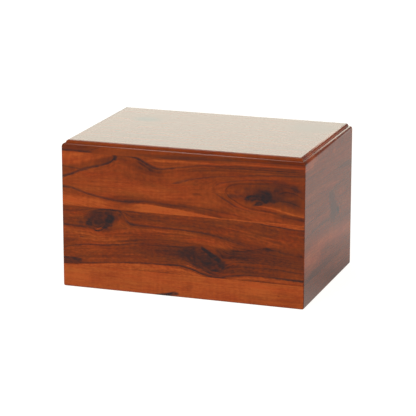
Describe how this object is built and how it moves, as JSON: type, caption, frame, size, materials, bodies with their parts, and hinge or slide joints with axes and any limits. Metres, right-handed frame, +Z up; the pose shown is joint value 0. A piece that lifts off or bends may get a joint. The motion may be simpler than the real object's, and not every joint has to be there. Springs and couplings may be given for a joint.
{
  "type": "cremation urn box",
  "caption": "Closed, hollow wooden box for cremated remains, with a moulded top board, mitred glued-up walls and a removable base panel screwed in from below.",
  "frame": {"origin": "middle of the underside, in the plane that the box stands on", "axes": "+X along the long side to the viewer's right, +Y from the front wall to the back wall, +Z up"},
  "size_m": [0.235, 0.1606, 0.1405],
  "materials": {
    "lacquered_wood": "clear satin lacquer over reddish brown, dark-streaked, knotty hardwood",
    "base_wood": "the same hardwood, plainer, with one thin sealing coat",
    "screw_brass": "plain, slightly dulled"
  },
  "bodies": {
    "root": {"top_board": "lacquered_wood", "front_upper_board": "lacquered_wood", "front_lower_board": "lacquered_wood", "front_base_strip": "lacquered_wood", "right_upper_board": "lacquered_wood", "right_lower_board": "lacquered_wood", "right_base_strip": "lacquered_wood", "back_upper_board": "lacquered_wood", "back_lower_board": "lacquered_wood", "back_base_strip": "lacquered_wood", "left_upper_board": "lacquered_wood", "left_lower_board": "lacquered_wood", "left_base_strip": "lacquered_wood", "base_panel": "base_wood", "base_screw_1": "screw_brass", "base_screw_2": "screw_brass", "base_screw_3": "screw_brass", "base_screw_4": "screw_brass"}
  },
  "joints": []
}
